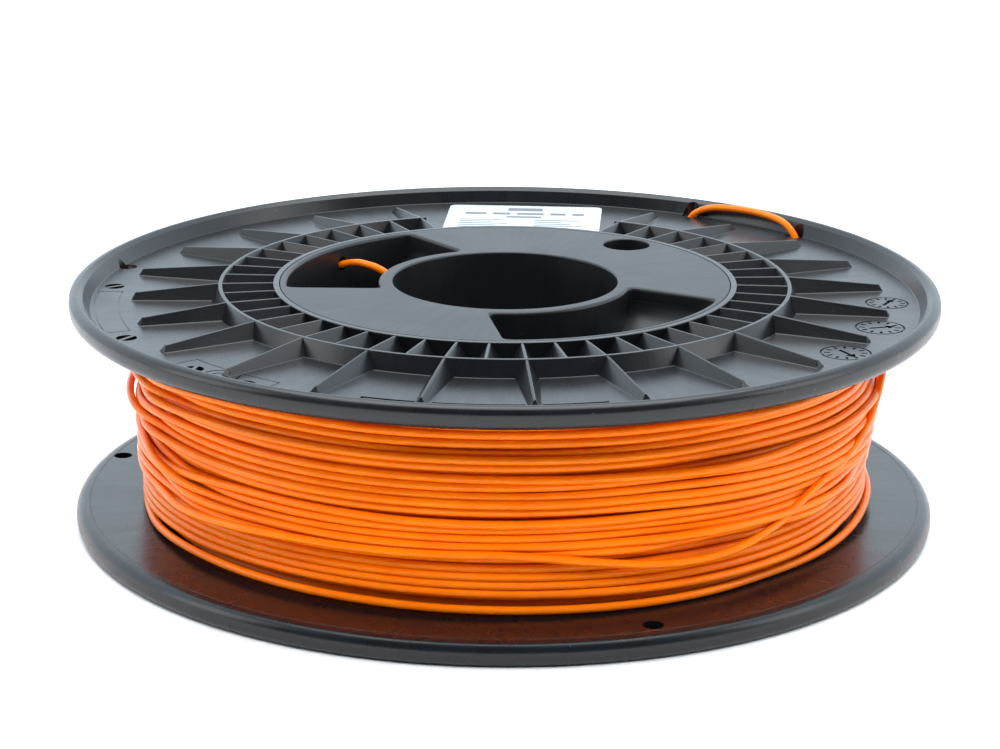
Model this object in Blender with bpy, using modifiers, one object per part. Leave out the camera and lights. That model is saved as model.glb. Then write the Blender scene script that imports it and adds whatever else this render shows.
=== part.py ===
"""Filament spool: two flange mouldings, a hub insert in each, the drum between them,
the wound filament with its two ends, and a paper label.

The spool stands on its lower flange with its axis on Z and the label towards +Y.
Both flanges, and both hub inserts, are one shape: the lower one is the upper one
turned over about the axis that runs through the drive hole.
"""

import math

import bmesh
import bpy
from mathutils import Matrix, Vector

MM = 0.001

# Whole spool, in metres
HEIGHT = 55.0 * MM
FLANGE_R = 100.0 * MM
BORE_R = 26.0 * MM
JOINT_GAP = 0.3 * MM
CUT_PAST = 5.0 * MM
STEPS = 72
HUB_STEPS = 60

# Flange: a plate with a rounded rim on its outer face
RIM_HEIGHT = 5.2 * MM
PLATE_THICK = 1.5 * MM
RIM_FOOT_R = 95.2 * MM
RIM_SLOPE = 1.5 * MM
RIM_CREST_DROP = 0.7 * MM
RIM_ROUND = 2.6 * MM
INNER_FACE_Z = HEIGHT - RIM_HEIGHT
PLATE_Z = INNER_FACE_Z + PLATE_THICK

# Hub ring and ring wall that carry the stiffening ribs
DRUM_R = 53.5 * MM
DRUM_WALL = 1.2 * MM
RING_WALL_R = 66.0 * MM
RING_WALL_THICK = 0.8 * MM
RING_WALL_DRAFT = 0.45
RIB_STEP = 7.5
RIB_TOP = 0.8 * MM
RIB_DRAFT = 0.6
RIB_SINK = 0.5 * MM
RIB_DROP = 0.1 * MM
LONG_RIB_R = 88.5 * MM
BLUNT_RIB_R = 86.0 * MM
BLUNT_RIBS = (187.5, 202.5)
RIB_END_HEIGHT = 1.5 * MM

# Label bay: the ribs and the ring wall leave it free
LABEL_BEARING = 90.0
LABEL_BAY_HALF = 22.5
BAY_INSET = 1.0
BAY_CUT_REACH = 4.0 * MM
BAY_CUT_DEPTH = 0.05 * MM
LABEL_WIDTH = 40.0 * MM
LABEL_LENGTH = 30.0 * MM
LABEL_OUTER_Y = 90.7 * MM
LABEL_THICK = 0.25 * MM
LABEL_CORNER = 2.0 * MM

# Hub insert: a cup with two wells through it
HUB_R = DRUM_R - DRUM_WALL - JOINT_GAP
SKIRT_WALL = 1.6 * MM
BORE_WALL = 3.3 * MM
DISC_THICK = 3.0 * MM
HUB_AXIS = 52.9
WELL_OFF_AXIS = 104.0
WELL_HALF_IN = 42.5
WELL_HALF_OUT = 35.5
WELL_WALL = 1.6 * MM
DRIVE_HOLE_R = 5.6 * MM
DRIVE_HOLE_AT = 45.4 * MM
DRIVE_BOSS_WALL = 0.8 * MM
SPIGOT_LENGTH = 3.0 * MM
SPIGOT_WALL = 1.5 * MM

# Filament
STRAND_R = 0.875 * MM
WINDING_R = 86.0 * MM
WINDING_ROUND = 2.0 * MM
END_HOLE_R = 2.2 * MM
UPPER_HOLES = ((42.6, 94.5 * MM), (62.9, 94.9 * MM), (168.7, 93.8 * MM))
LOWER_HOLES = ((292.6, 94.0 * MM), (172.0, 94.7 * MM))
START_HOLE_R = 1.5 * MM
START_BEARING = 145.3
START_Z = 49.6 * MM
START_TILT = 28.0
START_DRILL = 8.0 * MM


def clear_scene():
    for obj in list(bpy.data.objects):
        bpy.data.objects.remove(obj, do_unlink=True)


def new_collection(name, hidden=False):
    made = bpy.data.collections.new(name)
    made.hide_render = hidden
    bpy.context.scene.collection.children.link(made)
    return made


def plastic(name, colour, roughness):
    made = bpy.data.materials.new(name)
    made.use_nodes = True
    shader = made.node_tree.nodes["Principled BSDF"]
    shader.inputs["Base Color"].default_value = (*colour, 1.0)
    shader.inputs["Roughness"].default_value = roughness
    shader.inputs["Metallic"].default_value = 0.0
    return made


def at_bearing(radius, degrees, z=0.0):
    """The point at this radius and bearing, counted from +X towards +Y."""
    angle = math.radians(degrees)
    return Vector((radius * math.cos(angle), radius * math.sin(angle), z))


def add_object(name, data, collection, parent=None, material=None):
    obj = bpy.data.objects.new(name, data)
    collection.objects.link(obj)
    obj.parent = parent
    if material:
        obj.data.materials.append(material)
    return obj


def as_cutter(obj):
    obj.hide_render = True
    obj.display_type = "WIRE"
    return obj


def turned(name, profile, steps, collection, parent=None, material=None):
    """A closed profile of (radius, height) points, outer side top to bottom, turned about Z."""
    mesh = bpy.data.meshes.new(name)
    points = [(radius, 0.0, height) for radius, height in profile]
    count = len(points)
    edges = [(i, (i + 1) % count) for i in range(count)]
    mesh.from_pydata(points, edges, [])
    obj = add_object(name, mesh, collection, parent, material)
    screw = obj.modifiers.new("Turn", "SCREW")
    screw.axis = "Z"
    screw.angle = math.tau
    screw.steps = steps
    screw.render_steps = steps
    screw.use_merge_vertices = True
    screw.merge_threshold = 0.00001
    screw.use_smooth_shade = False
    return obj


def prism(name, outline, low, high, collection, parent=None, material=None):
    """A flat outline, anticlockwise from above, raised from low to high."""
    made = bmesh.new()
    base = [made.verts.new((x, y, low)) for x, y in outline]
    floor = made.faces.new(base)
    raised = bmesh.ops.extrude_face_region(made, geom=[floor])
    top = [item for item in raised["geom"] if isinstance(item, bmesh.types.BMVert)]
    bmesh.ops.translate(made, verts=top, vec=(0.0, 0.0, high - low))
    bmesh.ops.recalc_face_normals(made, faces=made.faces)
    mesh = bpy.data.meshes.new(name)
    made.to_mesh(mesh)
    made.free()
    return add_object(name, mesh, collection, parent, material)


def cylinder(name, radius, low, high, place, sides, collection, parent=None):
    made = bmesh.new()
    bmesh.ops.create_cone(
        made, cap_ends=True, segments=sides, radius1=radius, radius2=radius, depth=high - low
    )
    mesh = bpy.data.meshes.new(name)
    made.to_mesh(mesh)
    made.free()
    obj = add_object(name, mesh, collection, parent)
    obj.location = (place.x, place.y, (low + high) / 2)
    return obj


def boolean(obj, other, operation):
    cut = obj.modifiers.new(other.name, "BOOLEAN")
    cut.object = other
    cut.operation = operation
    cut.solver = "EXACT"


def shade_round(obj):
    """Smooth shading on round pieces, with the edges over 35 degrees left sharp."""
    obj.data.shade_smooth()
    obj.data.set_sharp_from_angle(angle=math.radians(35.0))


# --- Flange ---------------------------------------------------------------


def rim_arc(start, end, points):
    """Points on the rim's outer round, from one angle to another about its centre."""
    centre_r = FLANGE_R - RIM_ROUND
    centre_z = HEIGHT - RIM_ROUND
    arc = []
    for i in range(points):
        angle = math.radians(start + (end - start) * i / (points - 1))
        arc.append((centre_r + RIM_ROUND * math.cos(angle), centre_z + RIM_ROUND * math.sin(angle)))
    return arc


def flange_profile():
    ring_in = DRUM_R - DRUM_WALL
    crest = [(RIM_FOOT_R, PLATE_Z), (RIM_FOOT_R + RIM_SLOPE, HEIGHT - RIM_CREST_DROP)]
    outer = rim_arc(90.0, -90.0, 7)
    hub_ring = [(ring_in, HEIGHT), (DRUM_R, HEIGHT), (DRUM_R, PLATE_Z)]
    wall_in = RING_WALL_R - RING_WALL_THICK
    flare = RING_WALL_DRAFT * (HEIGHT - PLATE_Z)
    ring_wall = [
        (wall_in - flare, PLATE_Z),
        (wall_in, HEIGHT),
        (RING_WALL_R, HEIGHT),
        (RING_WALL_R + flare, PLATE_Z),
    ]
    return hub_ring + ring_wall + crest + outer + [(ring_in, INNER_FACE_Z)]


def rib_height(radius):
    """Full height as far as the ring wall, then an even fall to the rib's outer end."""
    full = HEIGHT - RIB_DROP - PLATE_Z
    if radius <= RING_WALL_R:
        return full
    share = (radius - RING_WALL_R) / (LONG_RIB_R - RING_WALL_R)
    return full + (RIB_END_HEIGHT - full) * share


def add_rib(made, bearing, outer_r):
    """One drafted rib along X, turned to its bearing: thin at its top, wide at its foot."""
    inner_r = DRUM_R - DRUM_WALL / 2
    rib = bmesh.new()
    bmesh.ops.create_cube(rib, size=1.0)
    for vert in rib.verts:
        vert.co.x = outer_r if vert.co.x > 0 else inner_r
    if outer_r > RING_WALL_R:
        everything = rib.verts[:] + rib.edges[:] + rib.faces[:]
        bmesh.ops.bisect_plane(
            rib, geom=everything, plane_co=(RING_WALL_R, 0, 0), plane_no=(1, 0, 0)
        )
    for vert in rib.verts:
        height = rib_height(vert.co.x)
        side = math.copysign(1.0, vert.co.y)
        if vert.co.z > 0:
            vert.co.y = side * RIB_TOP / 2
            vert.co.z = PLATE_Z + height
        else:
            vert.co.y = side * (RIB_TOP / 2 + RIB_DRAFT * (height + RIB_SINK))
            vert.co.z = PLATE_Z - RIB_SINK
    bmesh.ops.rotate(
        rib, verts=rib.verts, cent=(0, 0, 0), matrix=Matrix.Rotation(math.radians(bearing), 3, "Z")
    )
    piece = bpy.data.meshes.new("rib")
    rib.to_mesh(piece)
    rib.free()
    made.from_mesh(piece)
    bpy.data.meshes.remove(piece)


def rib_set(name, collection, parent):
    """All ribs of one flange: a short one at each step, every second one long."""
    made = bmesh.new()
    first = LABEL_BEARING + LABEL_BAY_HALF
    count = round((360.0 - 2 * LABEL_BAY_HALF) / RIB_STEP) + 1
    for i in range(count):
        bearing = (first + i * RIB_STEP) % 360.0
        outer_r = RING_WALL_R - RING_WALL_THICK / 2
        if i % 2 == 0:
            outer_r = BLUNT_RIB_R if bearing in BLUNT_RIBS else LONG_RIB_R
        add_rib(made, bearing, outer_r)
    mesh = bpy.data.meshes.new(name)
    made.to_mesh(mesh)
    made.free()
    return add_object(name, mesh, collection, parent)


def label_bay_cutter(name, collection, parent):
    """A wedge that takes the ring wall out of the label bay, up to the ribs at its ends."""
    half = LABEL_BAY_HALF - BAY_INSET
    near = RING_WALL_R - BAY_CUT_REACH
    far = RING_WALL_R + BAY_CUT_REACH
    corners = [
        at_bearing(near, LABEL_BEARING - half),
        at_bearing(far, LABEL_BEARING - half),
        at_bearing(far, LABEL_BEARING),
        at_bearing(far, LABEL_BEARING + half),
        at_bearing(near, LABEL_BEARING + half),
        at_bearing(near, LABEL_BEARING),
    ]
    outline = [(corner.x, corner.y) for corner in corners]
    low = PLATE_Z - BAY_CUT_DEPTH
    return as_cutter(prism(name, outline, low, HEIGHT + CUT_PAST, collection, parent))


def build_flange(name, holes, parts, cutters, parent, material):
    flange = turned(name, flange_profile(), STEPS, parts, parent, material)
    boolean(flange, label_bay_cutter(name + "_bay", cutters, parent), "DIFFERENCE")
    ribs = as_cutter(rib_set(name + "_ribs", cutters, parent))
    boolean(flange, ribs, "UNION")
    for i, (bearing, radius) in enumerate(holes, 1):
        place = at_bearing(radius, bearing)
        hole = cylinder(
            f"{name}_hole_{i}", END_HOLE_R, INNER_FACE_Z - MM, HEIGHT + MM, place, 20, cutters, parent
        )
        boolean(flange, as_cutter(hole), "DIFFERENCE")
    return flange


# --- Hub insert -----------------------------------------------------------


def sector(centre, inner_r, inner_half, outer_r, outer_half, points):
    """A ring sector's outline, its sides straight between the two arcs' ends."""
    outline = []
    for i in range(points):
        bearing = centre - outer_half + 2 * outer_half * i / (points - 1)
        outline.append(at_bearing(outer_r, bearing))
    for i in range(points):
        bearing = centre + inner_half - 2 * inner_half * i / (points - 1)
        outline.append(at_bearing(inner_r, bearing))
    return [(point.x, point.y) for point in outline]


def hub_profile(male):
    mating_z = HEIGHT / 2 + JOINT_GAP / 2
    tube_r = BORE_R + BORE_WALL
    if male:
        tip_z = mating_z - SPIGOT_LENGTH
        step_r = BORE_R + SPIGOT_WALL
        bore_end = [(step_r, mating_z), (step_r, tip_z), (BORE_R, tip_z)]
    else:
        floor_z = mating_z + SPIGOT_LENGTH + JOINT_GAP
        step_r = BORE_R + SPIGOT_WALL + JOINT_GAP
        bore_end = [(step_r, mating_z), (step_r, floor_z), (BORE_R, floor_z)]
    return [(BORE_R, HEIGHT), (HUB_R, HEIGHT), (HUB_R, mating_z), (tube_r, mating_z)] + bore_end


def build_hub(name, male, parts, cutters, parent, material):
    hub = turned(name, hub_profile(male), HUB_STEPS, parts, parent, material)
    low = HEIGHT / 2 - CUT_PAST
    above = HEIGHT + CUT_PAST
    inner_r = BORE_R + BORE_WALL
    outer_r = HUB_R - SKIRT_WALL
    wall_in = math.degrees(WELL_WALL / inner_r) + 0.3
    wall_out = math.degrees(WELL_WALL / outer_r) + 0.2
    wells = (HUB_AXIS + WELL_OFF_AXIS, HUB_AXIS - WELL_OFF_AXIS)
    for i, centre in enumerate(wells, 1):
        outline = sector(centre, inner_r, WELL_HALF_IN, outer_r, WELL_HALF_OUT, 12)
        well = prism(f"{name}_well_{i}", outline, low, above, cutters, parent)
        boolean(hub, as_cutter(well), "DIFFERENCE")
    chambers = ((HUB_AXIS, WELL_OFF_AXIS), (HUB_AXIS + 180.0, 180.0 - WELL_OFF_AXIS))
    for i, (centre, reach) in enumerate(chambers, 1):
        half_in = reach - WELL_HALF_IN - wall_in
        half_out = reach - WELL_HALF_OUT - wall_out
        outline = sector(centre, inner_r, half_in, outer_r, half_out, 16)
        chamber = prism(f"{name}_chamber_{i}", outline, low, HEIGHT - DISC_THICK, cutters, parent)
        boolean(hub, as_cutter(chamber), "DIFFERENCE")
    place = at_bearing(DRIVE_HOLE_AT, HUB_AXIS)
    boss_r = DRIVE_HOLE_R + DRIVE_BOSS_WALL
    boss_low = HEIGHT / 2 + JOINT_GAP
    boss = cylinder(name + "_boss", boss_r, boss_low, HEIGHT - MM, place, 32, cutters, parent)
    boolean(hub, as_cutter(boss), "UNION")
    hole = cylinder(name + "_drive", DRIVE_HOLE_R, low, above, place, 32, cutters, parent)
    boolean(hub, as_cutter(hole), "DIFFERENCE")
    return hub


# --- Drum, winding, filament ends, label ------------------------------------


def start_hole_cutter(name, collection):
    """A drill, tilted down outwards, for the hole that the filament's inner end passes through."""
    made = bmesh.new()
    bmesh.ops.create_cone(
        made, cap_ends=True, segments=16, radius1=START_HOLE_R, radius2=START_HOLE_R, depth=START_DRILL
    )
    mesh = bpy.data.meshes.new(name)
    made.to_mesh(mesh)
    made.free()
    obj = as_cutter(add_object(name, mesh, collection))
    obj.location = at_bearing(DRUM_R - DRUM_WALL, START_BEARING, START_Z)
    obj.rotation_euler = (0.0, math.radians(90.0 + START_TILT), math.radians(START_BEARING))
    return obj


def build_drum(parts, material):
    low = RIM_HEIGHT + JOINT_GAP
    high = INNER_FACE_Z - JOINT_GAP
    inner = DRUM_R - DRUM_WALL
    profile = [(inner, high), (DRUM_R, high), (DRUM_R, low), (inner, low)]
    return turned("core_drum", profile, STEPS, parts, None, material)


def build_winding(parts, material):
    low = RIM_HEIGHT + JOINT_GAP
    high = INNER_FACE_Z - JOINT_GAP
    inner = DRUM_R + JOINT_GAP
    shoulder = WINDING_R - WINDING_ROUND
    profile = [
        (inner, high),
        (shoulder, high),
        (WINDING_R, high - WINDING_ROUND),
        (WINDING_R, low + WINDING_ROUND),
        (shoulder, low),
        (inner, low),
    ]
    return turned("filament_winding", profile, STEPS, parts, None, material)


def smooth_route(knots, spacing):
    """Points at an even spacing on the smooth curve through (bearing, radius, height) knots."""
    corners = [at_bearing(radius, bearing, z) for bearing, radius, z in knots]
    first = corners[0] * 2 - corners[1]
    last = corners[-1] * 2 - corners[-2]
    row = [first] + corners + [last]
    fine = []
    for a, b, c, d in zip(row, row[1:], row[2:], row[3:]):
        for step in range(20):
            t = step / 20
            bend = (2 * a - 5 * b + 4 * c - d) * t**2 + (3 * b - a - 3 * c + d) * t**3
            fine.append(0.5 * (2 * b + (c - a) * t + bend))
    fine.append(corners[-1])
    length = sum((q - p).length for p, q in zip(fine, fine[1:]))
    count = max(2, round(length / spacing))
    points = [fine[0]]
    walked = 0.0
    for p, q in zip(fine, fine[1:]):
        walked += (q - p).length
        if walked >= length * len(points) / count - 1e-9 and len(points) < count:
            points.append(q)
    points.append(fine[-1])
    return points


def strand(name, knots, parts, material):
    """A length of filament along its route."""
    points = smooth_route(knots, 2.4 * 2 * STRAND_R)
    data = bpy.data.curves.new(name, "CURVE")
    data.dimensions = "3D"
    data.bevel_depth = STRAND_R
    data.bevel_resolution = 2
    data.use_fill_caps = True
    spline = data.splines.new("POLY")
    spline.points.add(len(points) - 1)
    for slot, point in zip(spline.points, points):
        slot.co = (*point, 1.0)
    return add_object(name, data, parts, None, material)


def outer_end_route():
    """Off the winding, up through one flange hole, over, and down through the next."""
    return [
        (-44.5, 87.4 * MM, 19.0 * MM),
        (-36.5, 87.4 * MM, 24.0 * MM),
        (-28.5, 87.4 * MM, 27.0 * MM),
        (-20.5, 87.4 * MM, 30.5 * MM),
        (-13.0, 87.4 * MM, 35.0 * MM),
        (-5.0, 87.5 * MM, 39.0 * MM),
        (8.0, 88.4 * MM, 42.6 * MM),
        (22.0, 90.4 * MM, 44.6 * MM),
        (34.0, 92.8 * MM, 45.4 * MM),
        (39.5, 94.0 * MM, 46.6 * MM),
        (41.9, 94.5 * MM, 49.2 * MM),
        (43.2, 94.5 * MM, 52.2 * MM),
        (46.0, 94.3 * MM, 54.5 * MM),
        (52.0, 94.2 * MM, 55.2 * MM),
        (58.5, 94.3 * MM, 54.4 * MM),
        (61.9, 94.7 * MM, 52.2 * MM),
        (63.4, 94.9 * MM, 49.4 * MM),
        (65.8, 94.7 * MM, 46.8 * MM),
        (71.0, 93.8 * MM, 45.4 * MM),
    ]


def inner_end_route():
    """Out of the start hole, over the well, and down beside the bore tube."""
    return [
        (START_BEARING, 52.9 * MM, 49.1 * MM),
        (START_BEARING, 50.4 * MM, 50.4 * MM),
        (144.6, 46.4 * MM, 51.4 * MM),
        (144.3, 42.9 * MM, 51.4 * MM),
        (144.0, 39.9 * MM, 51.0 * MM),
        (143.0, 36.8 * MM, 49.6 * MM),
        (142.0, 34.0 * MM, 46.6 * MM),
        (141.5, 32.0 * MM, 42.0 * MM),
    ]


def build_label(parts, material):
    """A rectangle with rounded corners on the flange plate, in the rib-free bay."""
    half_x = LABEL_WIDTH / 2 - LABEL_CORNER
    far_y = LABEL_OUTER_Y - LABEL_CORNER
    near_y = LABEL_OUTER_Y - LABEL_LENGTH + LABEL_CORNER
    corners = ((half_x, near_y, 270), (half_x, far_y, 0), (-half_x, far_y, 90), (-half_x, near_y, 180))
    outline = []
    for x, y, start in corners:
        for step in range(4):
            bend = at_bearing(LABEL_CORNER, start + 30 * step)
            outline.append((x + bend.x, y + bend.y))
    low = PLATE_Z + JOINT_GAP
    return prism("label", outline, low, low + LABEL_THICK, parts, None, material)


def main():
    clear_scene()
    parts = new_collection("Filament spool")
    cutters = new_collection("Cutters", hidden=True)
    black = plastic("black plastic", (0.035, 0.038, 0.042), 0.38)
    orange = plastic("orange filament", (0.95, 0.2, 0.01), 0.3)
    paper = plastic("white label paper", (0.85, 0.85, 0.84), 0.6)

    upper = bpy.data.objects.new("upper_side", None)
    lower = bpy.data.objects.new("lower_side", None)
    parts.objects.link(upper)
    parts.objects.link(lower)
    middle = Matrix.Translation((0.0, 0.0, HEIGHT / 2))
    turn_over = Matrix.Rotation(math.pi, 4, at_bearing(1.0, HUB_AXIS))
    lower.matrix_world = middle @ turn_over @ middle.inverted()
    bpy.context.view_layer.update()

    mirrored = tuple((2 * HUB_AXIS - bearing, radius) for bearing, radius in LOWER_HOLES)
    upper_flange = build_flange("upper_flange", UPPER_HOLES, parts, cutters, upper, black)
    build_flange("lower_flange", UPPER_HOLES[:2] + mirrored, parts, cutters, lower, black)
    upper_hub = build_hub("upper_hub", True, parts, cutters, upper, black)
    build_hub("lower_hub", False, parts, cutters, lower, black)
    drum = build_drum(parts, black)
    drill = start_hole_cutter("start_hole", cutters)
    for drilled in (drum, upper_hub, upper_flange):
        boolean(drilled, drill, "DIFFERENCE")
    build_winding(parts, orange)
    strand("filament_outer_end", outer_end_route(), parts, orange)
    strand("filament_inner_end", inner_end_route(), parts, orange)
    build_label(parts, paper)
    for obj in parts.objects:
        if obj.type == "MESH" and obj.name != "label":
            shade_round(obj)


main()
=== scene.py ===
"""Looks of the filament spool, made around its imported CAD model.

The spool's two flanges are one moulding, made for the upper side and turned over for the
lower side. The two hub inserts differ only where they meet: the upper one has a spigot and
the lower one a socket. The filament is laid on the pile turn by turn, so that every turn
rests in the grooves of the turns beneath it.
"""

import itertools
import math

import bmesh
import bpy
import numpy as np
from mathutils import Matrix, Quaternion, Vector


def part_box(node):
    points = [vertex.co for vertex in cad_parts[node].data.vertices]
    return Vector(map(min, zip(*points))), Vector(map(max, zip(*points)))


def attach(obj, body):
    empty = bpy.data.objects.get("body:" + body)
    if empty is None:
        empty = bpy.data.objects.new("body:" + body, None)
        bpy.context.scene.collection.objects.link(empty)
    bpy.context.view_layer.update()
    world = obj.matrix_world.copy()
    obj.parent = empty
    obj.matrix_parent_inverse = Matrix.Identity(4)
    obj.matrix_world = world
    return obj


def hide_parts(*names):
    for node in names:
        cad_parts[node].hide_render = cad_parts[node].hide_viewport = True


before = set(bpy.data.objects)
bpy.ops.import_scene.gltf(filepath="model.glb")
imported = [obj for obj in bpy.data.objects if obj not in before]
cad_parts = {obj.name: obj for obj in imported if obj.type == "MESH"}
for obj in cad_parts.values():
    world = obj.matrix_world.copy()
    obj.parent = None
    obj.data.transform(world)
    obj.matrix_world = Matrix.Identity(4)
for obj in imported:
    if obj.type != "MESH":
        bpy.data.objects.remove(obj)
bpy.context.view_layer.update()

MM = 0.001
STEPS = 288

# Flange, read from the CAD frame
FLANGE_LOW, FLANGE_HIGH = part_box("upper_flange")
HEIGHT = FLANGE_HIGH.z
FLANGE_R = FLANGE_HIGH.x
INNER_FACE_Z = FLANGE_LOW.z
RIM_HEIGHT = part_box("lower_flange")[1].z
PLATE_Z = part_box("label")[0].z - 0.3 * MM
DRUM_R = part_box("core_drum")[1].x
HUB_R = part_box("upper_hub")[1].x
WINDING_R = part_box("filament_winding")[1].x

# Flange rim and rings
DRUM_WALL = 1.2 * MM
RING_GAP = 0.12 * MM
RIM_FOOT_R = 95.2 * MM
RIM_CREST_R = 96.7 * MM
RIM_CREST_DROP = 0.8 * MM
RIM_TOP_R = 97.8 * MM
RIM_TOP_ROUND = 1.8 * MM
RIM_ROUND = 2.4 * MM
BEAD_R = 97.0 * MM
BEAD_DEPTH = 0.12 * MM
RING_WALL_R = 66.0 * MM
RING_WALL_THICK = 0.8 * MM
RING_WALL_DRAFT = 0.45
EDGE_ROUND = 0.2 * MM
FOOT_ROUND = 0.3 * MM

# Stiffening ribs
RIB_STEP = 7.5
RIB_TOP = 0.8 * MM
RIB_DRAFT = 0.6
RIB_DROP = 0.1 * MM
RIB_START_R = DRUM_R - DRUM_WALL / 2
LONG_RIB_R = 88.5 * MM
BLUNT_RIB_R = 86.0 * MM
BLUNT_RIBS = (187.5, 202.5)
RIB_END_HEIGHT = 1.5 * MM
RIB_TIP = 0.35 * MM

# Shallow marks on the flange plate
PIT_R = 2.3 * MM
PIT_DEPTH = 0.7 * MM
PIT_BAR = 0.9 * MM
# Bearing, radius, bearing of the bar in it
MARK_PITS = (
    (180.0, 91.5 * MM, 35.0),
    (208.5, 91.0 * MM, 60.0),
    (227.0, 90.0 * MM, 80.0),
    (237.0, 90.0 * MM, 120.0),
)
# First and last bearing, inner and outer radius, line width, depth
INSERT_OUTLINES = (
    (183.0, 205.0, 88.6 * MM, 94.3 * MM, 0.25 * MM, 0.12 * MM),
    (223.5, 240.5, 85.0 * MM, 94.2 * MM, 0.25 * MM, 0.15 * MM),
    (254.0, 287.5, 85.6 * MM, 93.0 * MM, 0.9 * MM, 0.5 * MM),
)
# Bearing, radius, size, bearing of the pointer
DATE_DIALS = (
    (331.0, 87.0 * MM, 5.6 * MM, 300.0),
    (346.0, 87.5 * MM, 5.6 * MM, 20.0),
    (0.0, 88.0 * MM, 5.0 * MM, 65.0),
)
EMBLEM_BEARING = 232.0
EMBLEM_R = 89.4 * MM
EMBLEM_RINGS = (4.4 * MM, 2.4 * MM)
LEGEND_LENGTHS = (2.6, 1.4, 3.2, 2.0, 1.2, 2.8, 1.8, 3.0, 1.6, 2.4)
LEGEND_HEIGHT = 2.0 * MM
LEGEND_GAP = 0.9 * MM

# Label and the rib-free bay that it lies in
LABEL_BEARING = 90.0
LABEL_BAY_HALF = 22.5
BAY_INSET = 1.0
BAY_CUT_REACH = 4.0 * MM
BAY_CUT_DEPTH = 0.01 * MM
LABEL_LOW, LABEL_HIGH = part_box("label")
LABEL_CORNER = 2.0 * MM
PAPER_THICK = 0.15 * MM
INK_THICK = 0.02 * MM

# Hub insert
BORE_R = 26.0 * MM
BORE_WALL = 3.3 * MM
SKIRT_WALL = 1.6 * MM
DISC_THICK = 3.0 * MM
HUB_AXIS = 52.9
WELL_OFF_AXIS = 104.0
WELL_HALF_IN = 42.5
WELL_HALF_OUT = 35.5
WELL_WALL = 1.6 * MM
WELL_EDGE = 0.8 * MM
COVE_REACH = 12.0 * MM
COVE_DROP = 7.0 * MM
COVE_THICK = 1.4 * MM
COVE_SWEEP = 75.0
DRIVE_HOLE_R = 5.6 * MM
DRIVE_HOLE_AT = 45.4 * MM
DRIVE_BOSS_WALL = 0.8 * MM
JOINT_GAP = 0.3 * MM
SPIGOT_LENGTH = 3.0 * MM
SPIGOT_WALL = 1.5 * MM

# Filament
STRAND_R = 0.875 * MM
STRAND_D = 2 * STRAND_R
PRESSED_R = 0.91 * MM
END_HOLE_R = 2.2 * MM
UPPER_HOLES = ((42.6, 94.5 * MM), (62.9, 94.9 * MM), (168.7, 93.8 * MM))
LOWER_HOLES = ((292.6, 94.0 * MM), (172.0, 94.7 * MM))
START_HOLE_R = 1.5 * MM
START_BEARING = 145.3
START_Z = 49.6 * MM
START_TILT = 28.0

# How the winding is laid. Shares of a turn count from the seam.
SEED = 11
ROWS = 24
LAYERS = 4
DRAWN_LAYERS = 2
TURN_STEPS = 216
SEAM_BEARING = 100.0
LEFT_ZONE = 0.31
LEFT_WIDTH = 0.1
RIGHT_ZONE = 0.635
RIGHT_WIDTH = 0.12
ZONE_WANDER = 0.035
ROW_UNREST = (0.3, 0.3, 0.5, 0.7)
WAVE_SIZE = 0.22
LEVEL_STEP = 0.05 * MM
FLANGE_CLEARANCE = 0.15 * MM
SLIP = 0.16 * MM
MOST_SLIP = 0.75 * STRAND_R
SWELL = 1.4 * MM
SWELL_TOP = 10.5 * MM
SWELL_FADE = 5 * MM
CROSSED_TURNS = (2, 7, 12)
PARTING_SHARE = 0.235
PARTING_WIDTH = 0.045
PARTING_ROW = 18.3
END_ROW = 6.5
END_BEARING = -44.5
LEAD_IN_STEPS = 10
LEAD_OUT_STEPS = 26

# Colours of the three black plastics
FLANGE_DARK = (0.0035, 0.0044, 0.0057)
FLANGE_LIGHT = (0.006, 0.0074, 0.0094)
HUB_DARK = (0.005, 0.006, 0.0075)
HUB_LIGHT = (0.008, 0.0097, 0.0118)
DRUM_DARK = (0.008, 0.009, 0.01)
DRUM_LIGHT = (0.012, 0.013, 0.014)


def at_bearing(radius, degrees, z=0.0):
    """The point at this radius and bearing, counted from +X towards +Y."""
    angle = math.radians(degrees)
    return Vector((radius * math.cos(angle), radius * math.sin(angle), z))


# --- Mesh tools -------------------------------------------------------------


def mesh_object(name, points, faces):
    mesh = bpy.data.meshes.new(name)
    mesh.from_pydata(np.asarray(points, float).tolist(), [], faces)
    mesh.update()
    obj = bpy.data.objects.new(name, mesh)
    bpy.context.scene.collection.objects.link(obj)
    return obj


def face_outwards(obj):
    made = bmesh.new()
    made.from_mesh(obj.data)
    bmesh.ops.recalc_face_normals(made, faces=made.faces)
    made.to_mesh(obj.data)
    made.free()
    return obj


def skin(name, rings, closed_rows):
    """A body through rings of equal point count. Open rows of rings are capped at both ends."""
    rings = np.asarray(rings, float)
    rows, columns = rings.shape[:2]
    faces = []
    for i in range(rows if closed_rows else rows - 1):
        a = i * columns
        b = (i + 1) % rows * columns
        for j in range(columns):
            k = (j + 1) % columns
            faces.append((a + j, a + k, b + k, b + j))
    if not closed_rows:
        faces.append(tuple(range(columns)))
        faces.append(tuple(range((rows - 1) * columns, rows * columns)))
    return face_outwards(mesh_object(name, rings.reshape(-1, 3), faces))


def turned(name, profile, steps=STEPS):
    """A closed profile of (radius, height) points, turned once round Z."""
    profile = np.asarray(profile, float)
    bearings = np.radians(360.0 * np.arange(steps) / steps)
    rings = np.empty((steps, len(profile), 3))
    rings[..., 0] = np.cos(bearings)[:, None] * profile[None, :, 0]
    rings[..., 1] = np.sin(bearings)[:, None] * profile[None, :, 0]
    rings[..., 2] = profile[None, :, 1]
    return skin(name, rings, True)


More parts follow.
